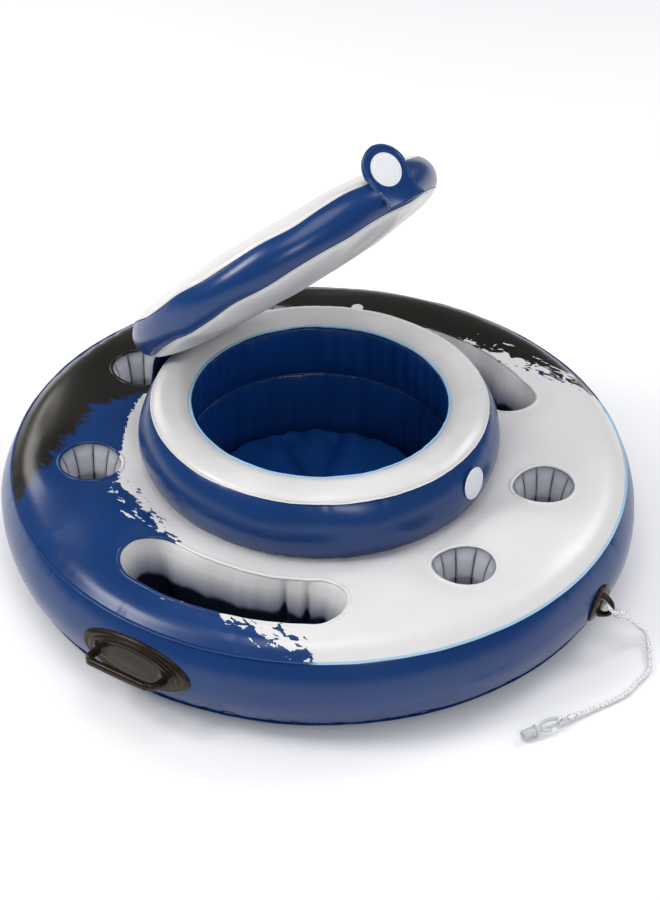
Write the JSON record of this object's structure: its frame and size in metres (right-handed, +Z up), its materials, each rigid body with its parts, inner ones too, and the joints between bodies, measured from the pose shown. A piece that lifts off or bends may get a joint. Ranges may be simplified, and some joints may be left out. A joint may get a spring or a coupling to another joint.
{
  "type": "inflatable floating cooler",
  "caption": "Round inflatable float with a central cooler well under a hinged padded lid, cup holders, long storage wells, grab handles and a tow rope",
  "frame": {"origin": "centre of the underside, on the ground, where the ring's axis meets it", "axes": "+Z up, +X towards the tow eye and the lid's latch, the lid's hinge along Y on the -X side"},
  "size_m": [0.9814, 0.968, 0.6217],
  "materials": {
    "blue_film": "glossy welded vinyl film, deep royal blue",
    "printed_film": "glossy white vinyl film printed with blue and black areas",
    "white_film": "glossy white vinyl film",
    "well_film": "glossy navy vinyl film",
    "piping": "glossy pale blue weld bead",
    "patch_pile": "white hook-and-loop pile",
    "black_moulding": "soft moulded black vinyl, satin",
    "rope": "white twisted cord with grey flecks",
    "clear_plastic": "milky clear plastic"
  },
  "bodies": {
    "float": {"ring_tube": "blue_film", "ring_top_sheet": "printed_film", "cup_sleeve_1": "white_film", "cup_sleeve_2": "white_film", "cup_sleeve_3": "white_film", "cup_sleeve_4": "white_film", "cup_sleeve_5": "white_film", "storage_sleeve_right": "white_film", "storage_sleeve_left": "white_film", "collar_tube": "blue_film", "collar_top_sheet": "white_film", "well_wall_upper": "well_film", "well_wall_lower": "well_film", "well_edge_piping": "piping", "floor_cushion": "well_film", "latch_patch_collar": "patch_pile", "handle_base_right": "black_moulding", "handle_base_left": "black_moulding", "tow_eye": "black_moulding", "ring_valve_base": "clear_plastic", "collar_valve_base": "clear_plastic", "floor_valve_base": "clear_plastic", "hinge_flap_collar": "blue_film"},
    "lid": {"lid_tube": "blue_film", "lid_top_sheet": "white_film", "lid_bottom_sheet": "white_film", "hinge_flap_lid": "blue_film", "lid_valve_base": "clear_plastic"},
    "latch_root": {"latch_strap_root": "blue_film"},
    "latch_tip": {"latch_strap_tip": "blue_film", "latch_patch_strap": "patch_pile"},
    "grip_right": {"handle_grip_right": "black_moulding"},
    "grip_left": {"handle_grip_left": "black_moulding"},
    "rope_1": {"rope_knot": "rope", "rope_link_1": "rope"},
    "rope_2": {"rope_link_2": "rope"},
    "rope_3": {"rope_link_3": "rope"},
    "rope_4": {"rope_link_4": "rope"},
    "rope_5": {"rope_link_5": "rope", "rope_end_loop": "rope"},
    "hook": {"hook_body": "clear_plastic"},
    "gate": {"hook_gate": "clear_plastic"},
    "barrel": {"hook_barrel": "clear_plastic"},
    "ring_plug": {"ring_valve_plug": "clear_plastic"},
    "collar_plug": {"collar_valve_plug": "clear_plastic"},
    "floor_plug": {"floor_valve_plug": "clear_plastic"},
    "lid_plug": {"lid_valve_plug": "clear_plastic"}
  },
  "joints": [
    {"name": "lid_hinge", "type": "hinge", "parent": "float", "child": "lid", "pos_m": [-0.232, 0, 0.256], "axis": [-0.1149, -0.9934, 0], "range_deg": [-44, 58]},
    {"name": "latch_root_bend", "type": "hinge", "parent": "lid", "child": "latch_root", "pos_m": [0.11767, 0.01334, 0.56285], "axis": [0.032, 0.9963, -0.0798], "range_deg": [0, 140]},
    {"name": "latch_tip_bend", "type": "hinge", "parent": "latch_root", "child": "latch_tip", "pos_m": [0.10111, 0.01526, 0.58011], "axis": [0.032, 0.9963, -0.0798], "range_deg": [-12, 30]},
    {"name": "grip_right_bend", "type": "hinge", "parent": "float", "child": "grip_right", "pos_m": [0.02379, -0.45388, 0.074], "axis": [0.9986, 0.0523, 0], "range_deg": [-20, 50]},
    {"name": "grip_left_bend", "type": "hinge", "parent": "float", "child": "grip_left", "pos_m": [0.02379, 0.45388, 0.074], "axis": [-0.9986, 0.0523, 0], "range_deg": [-54, 16]},
    {"name": "rope_bend_1", "type": "hinge", "parent": "float", "child": "rope_1", "pos_m": [0.46232, 0.01614, 0.062], "axis": [0, 0, 1], "range_deg": [-8, 40]},
    {"name": "rope_bend_2", "type": "hinge", "parent": "rope_1", "child": "rope_2", "pos_m": [0.5, 0.057, 0.01], "axis": [0, 0, 1], "range_deg": [0, 30]},
    {"name": "rope_bend_3", "type": "hinge", "parent": "rope_2", "child": "rope_3", "pos_m": [0.534, 0, 0.005], "axis": [0, 0, 1], "range_deg": [0, 25]},
    {"name": "rope_bend_4", "type": "hinge", "parent": "rope_3", "child": "rope_4", "pos_m": [0.531, -0.06, 0.004], "axis": [0, 0, 1], "range_deg": [0, 25]},
    {"name": "rope_bend_5", "type": "hinge", "parent": "rope_4", "child": "rope_5", "pos_m": [0.508, -0.112, 0.004], "axis": [0, 0, 1], "range_deg": [0, 25]},
    {"name": "hook_swing", "type": "hinge", "parent": "rope_5", "child": "hook", "pos_m": [0.488, -0.155, 0.0086], "axis": [0, 0, 1], "range_deg": [0, 10]},
    {"name": "gate_press", "type": "hinge", "parent": "hook", "child": "gate", "pos_m": [0.48149, -0.17637, 0.0086], "axis": [0, 0, 1], "range_deg": [0, 22]},
    {"name": "barrel_turn", "type": "hinge", "parent": "hook", "child": "barrel", "pos_m": [0.46503, -0.20008, 0.0086], "axis": [-0.454, -0.891, 0], "range_deg": [-170, 170]},
    {"name": "ring_plug_pull", "type": "slide", "parent": "float", "child": "ring_plug", "axis": [0, 0, 1], "range_m": [0, 0.012]},
    {"name": "collar_plug_pull", "type": "slide", "parent": "float", "child": "collar_plug", "axis": [-0.6157, 0.788, 0], "range_m": [0, 0.012]},
    {"name": "floor_plug_pull", "type": "slide", "parent": "float", "child": "floor_plug", "axis": [0, 0, 1], "range_m": [0, 0.012]},
    {"name": "lid_plug_pull", "type": "slide", "parent": "lid", "child": "lid_plug", "axis": [-0.0311, 0.9897, -0.1397], "range_m": [0, 0.012]}
  ]
}
